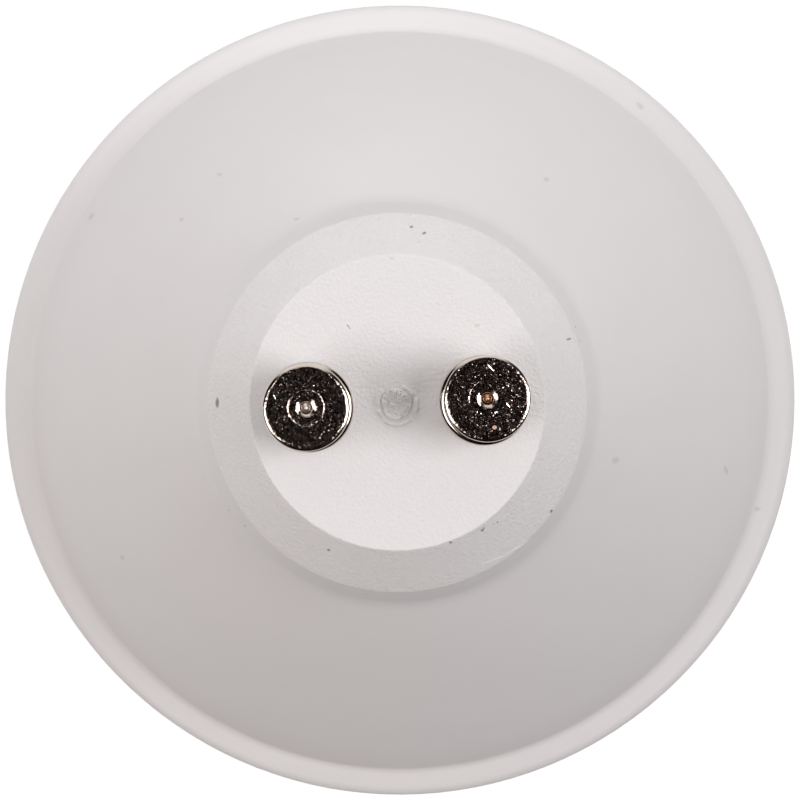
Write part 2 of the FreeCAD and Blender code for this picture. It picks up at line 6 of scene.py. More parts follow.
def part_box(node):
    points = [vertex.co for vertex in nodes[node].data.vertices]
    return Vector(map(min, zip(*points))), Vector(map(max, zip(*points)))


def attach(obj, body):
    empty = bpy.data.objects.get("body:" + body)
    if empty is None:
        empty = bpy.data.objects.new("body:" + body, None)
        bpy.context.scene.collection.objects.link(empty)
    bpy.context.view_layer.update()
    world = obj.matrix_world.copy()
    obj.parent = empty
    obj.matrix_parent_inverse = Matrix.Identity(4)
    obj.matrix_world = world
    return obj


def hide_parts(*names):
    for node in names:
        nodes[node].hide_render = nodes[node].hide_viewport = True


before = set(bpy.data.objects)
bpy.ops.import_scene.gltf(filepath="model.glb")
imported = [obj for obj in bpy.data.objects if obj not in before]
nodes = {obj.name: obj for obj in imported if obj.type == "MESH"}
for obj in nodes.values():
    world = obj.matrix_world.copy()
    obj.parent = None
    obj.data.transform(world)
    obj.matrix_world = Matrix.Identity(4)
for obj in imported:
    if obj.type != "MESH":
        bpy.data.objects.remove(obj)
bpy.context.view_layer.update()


# The housing: one injection moulding in white PBT, from the rim through bowl and neck to the base.
# The base and its bevel come from a spark-eroded mould insert, so they carry a fine grain, while the
# bowl comes from a smoother part of the mould. Storage and handling have left specks and smudges on it.

def linear(code):
    """The linear colour for an sRGB hex code."""
    parts = [int(code[place:place + 2], 16) / 255 for place in (1, 3, 5)]
    return [*(part / 12.92 if part < 0.04 else ((part + 0.055) / 1.055) ** 2.4 for part in parts), 1.0]


def add_node(tree, kind, inputs=None, output=None, **settings):
    """Adds a node with its settings, and returns its first output or the one that is named. An input goes by
    name or number among those that the settings leave on. It takes a value, a hex code or an output to link."""
    node = tree.nodes.new("ShaderNode" + kind)
    for name, value in settings.items():
        setattr(node, name, value)
    inlets = [inlet for inlet in node.inputs if inlet.enabled]
    for key, value in (inputs or {}).items():
        inlet = inlets[key] if isinstance(key, int) else next(inlet for inlet in inlets if inlet.name == key)
        if isinstance(value, bpy.types.NodeSocket):
            tree.links.new(value, inlet)
        else:
            inlet.default_value = linear(value) if isinstance(value, str) else value
    return next(outlet for outlet in node.outputs if outlet.enabled and output in (None, outlet.name))


def new_material(name, **sockets):
    """A material with its shader's plain values. Returns it with its tree, its shader and a vector
    that gives the place on the piece in millimetres."""
    material = bpy.data.materials.new(name)
    material.use_nodes = True
    tree = material.node_tree
    shader = tree.nodes["Principled BSDF"]
    for key, value in sockets.items():
        shader.inputs[key.replace("_", " ")].default_value = value
    metres = add_node(tree, "TexCoord", output="Object")
    return material, tree, shader, add_node(tree, "VectorMath", {0: metres, "Scale": 1000.0}, operation="SCALE")


def marks(tree, place, patches):
    """Soft-edged oval patches on what lies uppermost there. Each has the place of its middle, seen along
    the bulb's axis, its length and width in millimetres and its turn in degrees."""
    deepest = 2.0
    start_height = 0.1
    down = Vector((0, 0, -1))
    edge_ends, edge_starts = 1.3, 0.7
    total = None
    for across, along, length, width, turn in patches:
        above = Vector((across / 1000, along / 1000, start_height))
        point = bpy.context.scene.ray_cast(bpy.context.evaluated_depsgraph_get(), above, down)[1]
        laid = add_node(tree, "Mapping", {
            "Vector": place, "Location": (across, along, point.z * 1000), "Rotation": (0, 0, math.radians(turn)),
            "Scale": (length / 2, width / 2, min(1.5 * length, deepest))}, vector_type="TEXTURE")
        span = add_node(tree, "VectorMath", {0: laid}, operation="LENGTH")
        patch = add_node(tree, "MapRange", {"Value": span, "From Min": edge_ends, "From Max": edge_starts})
        if total is not None:
            patch = add_node(tree, "Math", {0: total, 1: patch}, operation="MAXIMUM")
        total = patch
    return total


def even_copy(name, node, material):
    """A copy of a CAD node that stands for it. It is merged into one skin, so that light runs evenly over
    its roundings."""
    same_place = 0.0000005
    copied = bpy.data.objects.new(name, nodes[node].data.copy())
    bpy.context.scene.collection.objects.link(copied)
    bpy.ops.object.select_all(action="DESELECT")
    copied.select_set(True)
    bpy.context.view_layer.objects.active = copied
    bpy.ops.object.mode_set(mode="EDIT")
    bpy.ops.mesh.select_all(action="SELECT")
    bpy.ops.mesh.remove_doubles(threshold=same_place)
    bpy.ops.mesh.customdata_custom_splitnormals_clear()
    bpy.ops.object.mode_set(mode="OBJECT")
    bpy.ops.object.shade_smooth_by_angle(angle=math.radians(30))
    evened = copied.modifiers.new("evened", "WEIGHTED_NORMAL")
    evened.keep_sharp = True
    bpy.ops.object.modifier_apply(modifier="evened")
    copied.data.materials.clear()
    copied.data.materials.append(material)
    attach(copied, "root")
    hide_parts(node)


# Each mark: its place, its length and width in millimetres and its turn in degrees
specks = [
    (1.3, 9.9, 0.17, 0.15, 0), (2.0, 9.5, 0.26, 0.12, 20), (-2.5, 4.4, 0.34, 0.07, -60),
    (-10.2, 0.5, 0.55, 0.2, 85), (9.9, 3.1, 0.3, 0.12, 10), (10.6, 3.0, 0.15, 0.12, 0),
    (10.4, 3.8, 0.16, 0.13, 0), (8.4, -6.6, 0.19, 0.17, 0), (4.4, -7.4, 0.2, 0.15, 0),
    (4.5, -7.3, 0.13, 0.1, 0), (5.3, -7.0, 0.12, 0.1, 0), (2.6, -8.0, 0.18, 0.16, 0),
    (-4.3, -8.1, 0.17, 0.15, 0), (-9.2, -6.7, 0.3, 0.1, 20),
]
smudges = [
    (-5.4, 11.0, 0.4, 0.15, 10), (-10.1, 14.2, 0.3, 0.25, 0), (-12.5, 11.6, 0.3, 0.25, 0),
    (-18.7, 12.5, 0.55, 0.4, 30), (9.5, 12.8, 0.35, 0.3, 0), (19.9, -5.3, 0.7, 0.25, -60),
    (12.6, -4.1, 0.5, 0.35, 0), (22.2, -8.0, 0.4, 0.25, 0), (16.1, 17.8, 0.55, 0.3, 130),
    (-17.4, -8.7, 0.35, 0.25, 0), (-6.4, -6.1, 0.13, 0.11, 0), (4.7, 4.1, 0.3, 0.2, 0),
    (-2.4, -10.9, 0.4, 0.12, 0), (-10.2, -5.8, 0.22, 0.15, 0), (-10.6, 3.3, 0.18, 0.15, 0),
    (1.7, 9.0, 0.13, 0.11, 0), (2.6, -7.5, 0.11, 0.1, 0), (7.7, -0.4, 0.13, 0.12, 0),
    (-5.2, -9.7, 0.16, 0.13, 0), (1.1, -6.7, 0.11, 0.1, 0), (0.1, 8.1, 0.18, 0.14, 0),
]
scrapes = [(4.9, -9.2, 2.0, 0.08, 17), (6.5, -8.5, 1.7, 0.12, 26)]
base_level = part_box("housing")[1].z
base_height = base_level * 1000
insert_edge = 42.9
insert_blend = 0.3
cloud_size = 5.0
grain_size = 0.2
grain_depth = 0.00007
bevel_grain = 1.6
ripple_size = 0.5
ripple_depth = 0.000004
ragged_size = 0.09
ragged_reach = 0.18

# Spark-eroded and polished PBT: an off-white with a slight warmth, satin, never quite even. The base and bevel are
# painted a little whiter than the bowl. The grain looks coarser on the bevel.
white_pbt, tree, shader, place = new_material("moulded_white_pbt", Roughness=0.5, IOR=1.55)
height = add_node(tree, "SeparateXYZ", {0: place}, "Z")
from_insert = add_node(tree, "MapRange", {
    "Value": height, "From Min": insert_edge - insert_blend, "From Max": insert_edge + insert_blend})
clouds = add_node(tree, "TexNoise", {"Vector": place, "Scale": 1 / cloud_size, "Detail": 4.0})
shade = add_node(tree, "Mix", {"Factor": clouds, "A": "#EAE6E6", "B": "#EEEAEA"}, data_type="RGBA")
whiter = add_node(tree, "Math", {0: from_insert, 1: 0.11}, operation="MULTIPLY")
shade = add_node(tree, "Mix", {"Factor": whiter, "A": shade, "B": "#FFFFFF"}, data_type="RGBA")
wander = add_node(tree, "TexNoise", {"Vector": place, "Scale": 1 / ragged_size, "Detail": 2.0}, "Color")
shift = add_node(tree, "VectorMath", {0: wander, 1: (0.5, 0.5, 0.5)}, operation="SUBTRACT")
ragged = add_node(tree, "VectorMath", {0: shift, 1: [ragged_reach] * 3, 2: place}, operation="MULTIPLY_ADD")
for patches, spot, strength, colour in (
        (smudges, ragged, 0.4, "#C2B7B2"), (specks, ragged, 0.75, "#5E4C42"), (scrapes, place, 1.0, "#FFFFFF")):
    marked = add_node(tree, "Math", {0: marks(tree, spot, patches), 1: strength}, operation="MULTIPLY")
    shade = add_node(tree, "Mix", {"Factor": marked, "A": shade, "B": colour}, data_type="RGBA")
tree.links.new(shade, shader.inputs["Base Color"])
grain = add_node(tree, "TexNoise", {"Vector": place, "Scale": 1 / grain_size, "Detail": 3.0})
coarser = add_node(tree, "MapRange", {
    "Value": height, "From Min": base_height - 0.15, "From Max": base_height - 0.02,
    "To Min": bevel_grain, "To Max": 1.0})
grain = add_node(tree, "Math", {0: grain, 1: coarser}, operation="MULTIPLY")
grain = add_node(tree, "Math", {0: grain, 1: from_insert}, operation="MULTIPLY")
relief = add_node(tree, "Bump", {"Height": grain, "Distance": grain_depth, "Strength": 1.0})
ripple = add_node(tree, "TexNoise", {"Vector": place, "Scale": 1 / ripple_size, "Detail": 2.0})
relief = add_node(tree, "Bump", {"Height": ripple, "Distance": ripple_depth, "Normal": relief})
tree.links.new(relief, shader.inputs["Normal"])
even_copy("moulding", "housing", white_pbt)


# The gate scar: where the runner was broken off the moulding. A rough stub is left, with a collar of
# flash round it that has come away in places. It is the same white PBT.

scar_radius = 0.00137
scar_rings = 56
scar_corners = 200
scar_middle = (-0.05, -0.06)
stub_radius = 0.87
stub_height = 0.2
collar_inside = 0.9
# Each lobe of the collar: its direction and half its spread in degrees, its height and its reach in millimetres
collar = [(271, 42, 0.14, 1.28), (-8, 22, 0.07, 1.29), (45, 24, 0.1, 1.12), (155, 24, 0.06, 1.3), (210, 14, 0.1, 1.2)]


def step(value, low, high):
    """Goes smoothly from 0 to 1 as a value goes from low to high."""
    share = min(max((value - low) / (high - low), 0.0), 1.0)
    return share * share * (3 - 2 * share)


def scar_height(across, along):
    """How high the scar stands above the base, in millimetres, at a place in millimetres."""
    across, along = across - scar_middle[0], along - scar_middle[1]
    radius = math.hypot(across, along)
    heading = math.atan2(along, across)
    # The noise is turned and shifted, so that its grid doesn't show
    spot = Matrix.Rotation(0.6, 3, "Z") @ Vector((across + 2.3, along + 1.7, 3.1))
    lumps = noise.fractal(spot / 0.22, 0.6, 2.3, 4)
    tears = noise.ridged_multi_fractal(spot / 0.32, 0.9, 2.2, 3, 1.0, 2.0)
    stub_edge = stub_radius + 0.025 * math.sin(3 * heading + 0.7) + 0.05 * lumps
    on_stub = 1 - step(radius, stub_edge - 0.05, stub_edge + 0.03)
    # The stub is torn and lumpy, smoother at the lower left, with a pit at the upper right
    smooth = step(-across - along, 0.55, 0.85)
    pit = 1 - step(math.hypot(across - 0.27, along - 0.5), 0.04, 0.1)
    rough = 0.11 * lumps - 0.17 * step(tears, 1.2, 1.75)
    broken = max(stub_height + rough * (1 - 0.6 * smooth) - 0.1 * pit, 0.03)
    # Each lobe of the collar has a flat top, and a moat parts it from the stub
    ridge = 0.0
    for direction, spread, lobe_height, reach in collar:
        aside = abs((math.degrees(heading) - direction + 180) % 360 - 180)
        outwards = (radius - collar_inside) / (reach + 0.015 * lumps - collar_inside)
        across_lobe = step(outwards, 0.0, 0.5) * (1 - step(outwards, 0.78, 1.0))
        ridge = max(ridge, lobe_height * across_lobe * (1 - step(aside, spread - 7, spread + 3)))
    moat = -0.045 * (1 - step(radius, stub_edge + 0.02, stub_edge + 0.09))
    border = -0.02 * step(radius, 1.3, 1.37)
    return broken * on_stub + (moat + ridge + 0.01 * lumps) * (1 - on_stub) + border


bpy.ops.object.select_all(action="DESELECT")
bpy.ops.mesh.primitive_circle_add(
    vertices=scar_corners, radius=scar_radius, fill_type="NGON", location=(0, 0, base_level))
gate_scar = bpy.context.object
gate_scar.name = "gate_scar"
bpy.ops.object.transform_apply(location=True)
bpy.ops.object.mode_set(mode="EDIT")
bpy.ops.mesh.select_mode(type="FACE")
bpy.ops.mesh.select_all(action="SELECT")
for _ in range(scar_rings):
    bpy.ops.mesh.inset(thickness=scar_radius / (scar_rings + 1))
bpy.ops.object.mode_set(mode="OBJECT")
for corner in gate_scar.data.vertices:
    corner.co.z += scar_height(corner.co.x * 1000, corner.co.y * 1000) / 1000
bpy.ops.object.shade_smooth()
gate_scar.data.materials.append(white_pbt)
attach(gate_scar, "root")


# The contact pins: hollow brass, turned on a lathe and plated with bright nickel, then riveted into the base.
# A waist lets the holder's springs grip under the head. The tip is pressed over the wire, which leaves a
# funnel and a ring on it, and the pressing has left the tip pebbled.

pin_side = 0.005
pin_turns = 128
pin_height = 7.0
flare_low = (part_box("contact_pin_left")[0].z - base_level) * 1000
wall_low = flare_low + 0.6
ring_zone = (0.95, 1.05)
funnel_edge = 0.6
foot_inside = 1.62
foot_top = 0.39
foot_shift = Vector((-0.00009, -0.00011, 0))


def arc(middle, reach, start, end, steps):
    """Points on an arc of the section: its middle, how far it reaches out and up, and its angles in degrees."""
    angles = [math.radians(start + (end - start) * number / steps) for number in range(steps + 1)]
    return [(middle[0] + reach[0] * math.cos(angle), middle[1] + reach[1] * math.sin(angle)) for angle in angles]


# The section, as radius and height over the base: flare, foot, waist, head with a crowned edge, ring and funnel
pin_section = [
    (0.95, flare_low), (2.3, flare_low), (2.3, wall_low), (1.6, wall_low), (1.6, 0.0),
    (2.54, 0.0), *arc((2.28, 0.2), (0.26, 0.168), 0, 90, 9),
    (1.6, 0.368), (1.56, 0.38), (1.55, 0.42), (1.55, 4.08), (1.57, 4.1),
    (2.12, 4.1), *arc((2.16, 4.34), (0.24, 0.24), -90, 0, 4),
    (2.4, 4.4), (2.4, 6.84), *arc((2.274, 6.88), (0.126, 0.099), 0, 68, 5),
    *((2.14 + 0.03 * number, pin_height - 0.00077 * number ** 2) for number in (5, 4, 3, 2, 1, 0)),
    (2.1, pin_height), (1.06, pin_height),
    (1.035, pin_height), (1.018, 6.996), (1.0, 6.991), (0.982, 6.996), (0.965, pin_height),
    (0.94, pin_height), (0.64, pin_height),
    (0.59, pin_height), (0.56, 6.996), (0.51, 6.986), (0.46, 6.974), *arc((0.41, 6.85), (0.11, 0.11), 100, 180, 4),
    (0.3, 5.7), (0.95, 5.05)]

corners = [(radius / 1000, 0, base_level + height / 1000) for radius, height in pin_section]
joined = [(number, (number + 1) % len(corners)) for number in range(len(corners))]
pin_mesh = bpy.data.meshes.new("left_pin")
pin_mesh.from_pydata(corners, joined, [])
left_pin = bpy.data.objects.new("left_pin", pin_mesh)
bpy.context.scene.collection.objects.link(left_pin)
bpy.ops.object.select_all(action="DESELECT")
left_pin.select_set(True)
bpy.context.view_layer.objects.active = left_pin
bpy.ops.object.mode_set(mode="EDIT")
bpy.ops.mesh.select_all(action="SELECT")
bpy.ops.mesh.spin(steps=pin_turns, angle=2 * math.pi, center=(0, 0, 0), axis=(0, 0, 1))
bpy.ops.mesh.select_all(action="SELECT")
bpy.ops.mesh.remove_doubles(threshold=0.000001)
bpy.ops.mesh.normals_make_consistent(inside=False)
bpy.ops.object.mode_set(mode="OBJECT")
bpy.ops.object.shade_smooth_by_angle(angle=math.radians(30))
right_pin = left_pin.copy()
right_pin.data = left_pin.data.copy()
right_pin.name = "right_pin"
bpy.context.scene.collection.objects.link(right_pin)

# The funnel is uneven on both. On the right pin the ring is only half struck, and the foot sits askew.
for pin, side, turned in ((left_pin, -pin_side, 0.4), (right_pin, pin_side, 2.3)):
    for corner in pin.data.vertices:
        off_axis = corner.co.xy.length * 1000
        heading = math.atan2(corner.co.y, corner.co.x)
        over_base = (corner.co.z - base_level) * 1000
        if off_axis < funnel_edge and over_base > pin_height - 0.2:
            uneven = 0.008 * math.sin(3 * heading + turned) + 0.006 * math.sin(5 * heading - turned)
            corner.co.z += uneven * (funnel_edge - off_axis) / funnel_edge / 1000
        if pin is right_pin and ring_zone[0] < off_axis < ring_zone[1] and over_base > pin_height - 0.1:
            struck = 0.55 - 0.55 * step(abs(math.degrees(heading) % 360 - 142), 40, 50)
            tip = base_level + pin_height / 1000
            corner.co.z = tip + (corner.co.z - tip) * struck
        if pin is right_pin and off_axis > foot_inside and -0.01 < over_base < foot_top:
            corner.co += foot_shift
        corner.co.x += side

# Each mark: its place, its length and width in millimetres and its turn in degrees. The long thin ones are scratches,
# and the four smallest are painted glints
pin_scratches_and_glints = [
    (5.25, 1.7, 0.6, 0.04, -51), (6.1, -0.4, 0.34, 0.04, -53), (-6.7, 0.7, 0.3, 0.03, -66),
    (-4.5, 1.2, 0.08, 0.04, 30), (4.6, -0.8, 0.09, 0.04, 30), (4.4, -0.7, 0.07, 0.03, 60),
    (5.6, 1.5, 0.05, 0.04, 0), (6.2, 0.7, 0.2, 0.02, 80),
]
worn_through = [(5.3, -1.6, 0.23, 0.2, 0)]
pebble_sizes = (0.06, 0.1)
steepest_pebble = math.tan(math.radians(7))
scratch_and_glint_lean = math.tan(math.radians(8.5))
pit_size = 0.12
pit_depth = 0.000002
tarnish_size = 0.8

# Nickel plate: a warm grey mirror, broken up on the tip into fine pebbles that each tilt another way. Each pebble is
# painted its own tone between dark brown and pale, a painted reflection of the dark room above and of the lights.
# They are drawn a little coarser than they are, so that they show.
nickel, tree, shader, place = new_material("nickel_plate_on_brass", Metallic=1.0)
tip_level = base_height + pin_height
height = add_node(tree, "SeparateXYZ", {0: place}, "Z")
on_tip = add_node(tree, "MapRange", {"Value": height, "From Min": tip_level - 0.02, "From Max": tip_level - 0.005})
fine, coarse = (add_node(tree, "TexVoronoi", {"Vector": place, "Scale": 1 / size}, "Color") for size in pebble_sizes)
both = add_node(tree, "VectorMath", {0: fine, 1: coarse}, operation="ADD")
level = add_node(tree, "VectorMath", {0: both, 1: (1, 1, 1)}, operation="SUBTRACT")
tilt = add_node(tree, "VectorMath", {0: level, 1: (steepest_pebble, steepest_pebble, 0)}, operation="MULTIPLY")
scored_and_glinting = marks(tree, place, pin_scratches_and_glints)
lean = add_node(tree, "Math", {0: scored_and_glinting, 1: scratch_and_glint_lean}, operation="MULTIPLY")
scratch_and_glint_tilt = add_node(tree, "CombineXYZ", {"X": lean})
tilt = add_node(tree, "VectorMath", {0: tilt, 1: scratch_and_glint_tilt}, operation="ADD")
tilt = add_node(tree, "VectorMath", {0: tilt, "Scale": on_tip}, operation="SCALE")
upright = add_node(tree, "NewGeometry", output="Normal")
leaning = add_node(tree, "VectorMath", {0: upright, 1: tilt}, operation="ADD")
facet = add_node(tree, "VectorMath", {0: leaning}, operation="NORMALIZE")
pits = add_node(tree, "TexNoise", {"Vector": place, "Scale": 1 / pit_size, "Detail": 2.0})
pitted = add_node(tree, "Bump", {"Height": pits, "Distance": pit_depth, "Normal": facet})
tree.links.new(pitted, shader.inputs["Normal"])
tarnish = add_node(tree, "TexNoise", {"Vector": place, "Scale": 1 / tarnish_size, "Detail": 3.0})
bright = add_node(tree, "Mix", {"Factor": tarnish, "A": "#C9BCB0", "B": "#DDD3CA"}, data_type="RGBA")
# Painted shade and painted reflection: each pebble is painted from near-black brown to pale, standing for how dark or
# bright its reflection is
pebble_tone = add_node(tree, "SeparateXYZ", {0: coarse}, "Z")
pebble_painted_shade = add_node(tree, "Mix", {"Factor": pebble_tone, "A": "#200D08", "B": "#CCB8B0"}, data_type="RGBA")
shade = add_node(tree, "Mix", {"Factor": on_tip, "A": bright, "B": pebble_painted_shade}, data_type="RGBA")
# Scratches and glints are painted the bright nickel colour, clear of the painted pebble shade. On the glints this is
# a painted highlight
scored_and_glinting = add_node(tree, "Math", {0: scored_and_glinting, 1: on_tip}, operation="MULTIPLY")
shade = add_node(tree, "Mix", {"Factor": scored_and_glinting, "A": shade, "B": bright}, data_type="RGBA")
bared = add_node(tree, "Math", {0: marks(tree, place, worn_through), 1: on_tip}, operation="MULTIPLY")
shade = add_node(tree, "Mix", {"Factor": bared, "A": shade, "B": "#E8B9A8"}, data_type="RGBA")
tree.links.new(shade, shader.inputs["Base Color"])
dull = add_node(tree, "MapRange", {"Value": bared, "To Min": 0.12, "To Max": 0.65})
tree.links.new(dull, shader.inputs["Roughness"])
for pin, node in ((left_pin, "contact_pin_left"), (right_pin, "contact_pin_right")):
    pin.data.materials.append(nickel)
    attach(pin, "root")
    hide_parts(node)


# The driver board: glass-fibre laminate under green solder mask, pushed in between the housing's rails.
# It stands upright in the neck and carries the parts that follow.

def dress(material, *names):
    """Gives CAD nodes a material in place of the plain one they came with."""
    for name in names:
        mesh = nodes[name].data
        mesh.materials.clear()
        mesh.materials.append(material)


thread_spacing = 0.6
thread_depth = 0.00001
mask_cloud_size = 3.0

# Masked laminate: a glossy deep green, through which the weave shows a little lighter and stands up
laminate, tree, shader, place = new_material("masked_glass_laminate", Roughness=0.35, IOR=1.5)
weave = add_node(tree, "TexWave", {"Vector": place, "Scale": 1 / thread_spacing, "Distortion": 1.0}, "Fac",
                 bands_direction="Z")
clouds = add_node(tree, "TexNoise", {"Vector": place, "Scale": 1 / mask_cloud_size, "Detail": 3.0})
shade = add_node(tree, "Mix", {"Factor": clouds, "A": "#1C5A36", "B": "#266B42"}, data_type="RGBA")
showing = add_node(tree, "Math", {0: weave, 1: 0.25}, operation="MULTIPLY")
shade = add_node(tree, "Mix", {"Factor": showing, "A": shade, "B": "#2F7A4C"}, data_type="RGBA")
tree.links.new(shade, shader.inputs["Base Color"])
threads = add_node(tree, "Bump", {"Height": weave, "Distance": thread_depth})
tree.links.new(threads, shader.inputs["Normal"])
dress(laminate, "driver_board")


# The bulk capacitor: an aluminium can in a shrunk sleeve, on the driver board.
# The sleeve wraps it all round, so no bare metal shows.

sleeve_cloud_size = 1.5
wrinkle_size = 0.7
wrinkle_depth = 0.00002

# Shrunk PVC: nearly black with a blue cast, glossy, with soft wrinkles where it has shrunk unevenly
sleeve, tree, shader, place = new_material("shrunk_dark_sleeve", Roughness=0.3, IOR=1.53)
clouds = add_node(tree, "TexNoise", {"Vector": place, "Scale": 1 / sleeve_cloud_size, "Detail": 3.0})
shade = add_node(tree, "Mix", {"Factor": clouds, "A": "#1B1D26", "B": "#262936"}, data_type="RGBA")
tree.links.new(shade, shader.inputs["Base Color"])
wrinkles = add_node(tree, "TexNoise", {"Vector": place, "Scale": 1 / wrinkle_size, "Detail": 3.0})
wrinkled = add_node(tree, "Bump", {"Height": wrinkles, "Distance": wrinkle_depth})
tree.links.new(wrinkled, shader.inputs["Normal"])
dress(sleeve, "bulk_capacitor")


# The inductor: a ferrite bobbin wound with enamelled copper, turn beside turn.
# The winding is all that shows of it from the side.

turn_spacing = 0.9
turn_depth = 0.00008

# Enamelled copper: red-brown, with a painted highlight along the top of each turn and painted shade between two of
# them
winding, tree, shader, place = new_material("enamelled_copper_winding", Metallic=0.6, Roughness=0.35)
turns = add_node(tree, "TexWave", {"Vector": place, "Scale": 1 / turn_spacing, "Distortion": 0.3}, "Fac",
                 bands_direction="Y")
# Painted highlight on the tops of the turns and painted shade in the grooves between them
shade = add_node(tree, "Mix", {"Factor": turns, "A": "#5A2E1A", "B": "#B4683A"}, data_type="RGBA")
tree.links.new(shade, shader.inputs["Base Color"])
wound = add_node(tree, "Bump", {"Height": turns, "Distance": turn_depth})
tree.links.new(wound, shader.inputs["Normal"])
dress(winding, "inductor")


# The fuse resistor: a ceramic rod with its film, dipped in flameproof lacquer.
# It lies on the driver board, where the mains comes in.

lacquer_cloud_size = 0.6
dip_size = 0.5
dip_depth = 0.00003

# Flameproof lacquer: a pale grey-green, half matt, slightly lumpy from the dipping
lacquer, tree, shader, place = new_material("flameproof_lacquer", Roughness=0.55, IOR=1.5)
clouds = add_node(tree, "TexNoise", {"Vector": place, "Scale": 1 / lacquer_cloud_size, "Detail": 3.0})
shade = add_node(tree, "Mix", {"Factor": clouds, "A": "#86A08B", "B": "#98B09B"}, data_type="RGBA")
tree.links.new(shade, shader.inputs["Base Color"])
lumps = add_node(tree, "TexNoise", {"Vector": place, "Scale": 1 / dip_size, "Detail": 3.0})
dipped = add_node(tree, "Bump", {"Height": lumps, "Distance": dip_depth})
tree.links.new(dipped, shader.inputs["Normal"])
dress(lacquer, "fuse_resistor")


# The bridge rectifier, the driver chip and the freewheel diode: packages soldered to the driver board.
# All three are transfer moulded in the same filled epoxy.

filler_size = 0.4
matt_size = 0.12
matt_depth = 0.00001

# Filled epoxy: a dull near-black, finely matt from the mould
epoxy, tree, shader, place = new_material("moulded_black_epoxy", Roughness=0.6, IOR=1.55)
filler = add_node(tree, "TexNoise", {"Vector": place, "Scale": 1 / filler_size, "Detail": 3.0})
shade = add_node(tree, "Mix", {"Factor": filler, "A": "#1D1D1E", "B": "#2A2A2B"}, data_type="RGBA")
tree.links.new(shade, shader.inputs["Base Color"])
texture = add_node(tree, "TexNoise", {"Vector": place, "Scale": 1 / matt_size, "Detail": 3.0})
matt = add_node(tree, "Bump", {"Height": texture, "Distance": matt_depth})
tree.links.new(matt, shader.inputs["Normal"])
dress(epoxy, "bridge_rectifier", "driver_chip", "freewheel_diode")


# The mains wires: copper from the driver board up through the pins. Each is cut off at the tip, where the
# cutter and the crimp have swelled its end. The left one still has tin on it.

bead_radius = 0.000262
bead_height = 0.00025
bead_sink = 0.00001
bead_dents = 0.000006
dent_size = 0.18
wire_tops = {"mains_wire_left": (-0.00001, 0.00003), "mains_wire_right": (0.0, 0.00001)}
smear_size = 0.15
cut_size = 0.1
cut_depth = 0.000003

# Copper with a trace of tin: reddish brown to pale pink, softly shining where it was cut
copper, tree, shader, place = new_material("tinned_copper_end", Metallic=1.0, Roughness=0.38)
rightness = add_node(tree, "SeparateXYZ", {0: place}, "X")
tin = add_node(tree, "MapRange", {"Value": rightness, "From Min": 1.0, "From Max": -1.0})
dark = add_node(tree, "Mix", {"Factor": tin, "A": "#B57F62", "B": "#DCC3B6"}, data_type="RGBA")
bright = add_node(tree, "Mix", {"Factor": tin, "A": "#E3B297", "B": "#F6E8E0"}, data_type="RGBA")
smears = add_node(tree, "TexNoise", {"Vector": place, "Scale": 1 / smear_size, "Detail": 3.0})
shade = add_node(tree, "Mix", {"Factor": smears, "A": dark, "B": bright}, data_type="RGBA")
tree.links.new(shade, shader.inputs["Base Color"])
grooves = add_node(tree, "TexNoise", {"Vector": place, "Scale": 1 / cut_size, "Detail": 3.0})
cut_face = add_node(tree, "Bump", {"Height": grooves, "Distance": cut_depth})
tree.links.new(cut_face, shader.inputs["Normal"])
dress(copper, *wire_tops)
for node, (across, along) in wire_tops.items():
    low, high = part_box(node)
    side = math.copysign(pin_side, low.x)
    bpy.ops.object.select_all(action="DESELECT")
    bpy.ops.mesh.primitive_uv_sphere_add(segments=48, ring_count=24, radius=bead_radius)
    wire_end = bpy.context.object
    wire_end.name = node.replace("wire", "wire_end")
    bpy.ops.transform.resize(value=(1, 1, bead_height / bead_radius))
    bpy.ops.transform.translate(value=(side + across, along, high.z - bead_height - bead_sink))
    bpy.ops.object.transform_apply(location=True, rotation=True, scale=True)
    for corner in wire_end.data.vertices:
        corner.co += corner.normal * bead_dents * noise.noise(corner.co * 1000 / dent_size)
    bpy.ops.object.shade_smooth()
    wire_end.data.materials.append(copper)
    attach(wire_end, "root")


# The heat sink: a cup drawn from aluminium sheet, pushed into the bowl.
# It takes the light source board on its floor.

press_ring_spacing = 1.2
press_ring_depth = 0.00001
sheet_cloud_size = 2.0

# Drawn aluminium: a soft silver grey with the fine rings that the press leaves
aluminium, tree, shader, place = new_material("drawn_aluminium", Metallic=1.0, Roughness=0.38)
rings = add_node(tree, "TexWave", {"Vector": place, "Scale": 1 / press_ring_spacing, "Distortion": 2.0}, "Fac",
                 bands_direction="Z")
clouds = add_node(tree, "TexNoise", {"Vector": place, "Scale": 1 / sheet_cloud_size, "Detail": 3.0})
shade = add_node(tree, "Mix", {"Factor": clouds, "A": "#B9BABC", "B": "#CDCED0"}, data_type="RGBA")
tree.links.new(shade, shader.inputs["Base Color"])
drawn = add_node(tree, "Bump", {"Height": rings, "Distance": press_ring_depth})
tree.links.new(drawn, shader.inputs["Normal"])
dress(aluminium, "heat_sink")


# The light source board: an aluminium disc under white solder mask, pressed into the heat sink's seat.
# A ring of copper under the mask joins the light sources and stands up a little.

track_middle = 13.48
track_half = 1.5
track_edge = 0.1
track_depth = 0.00004
board_cloud_size = 2.0

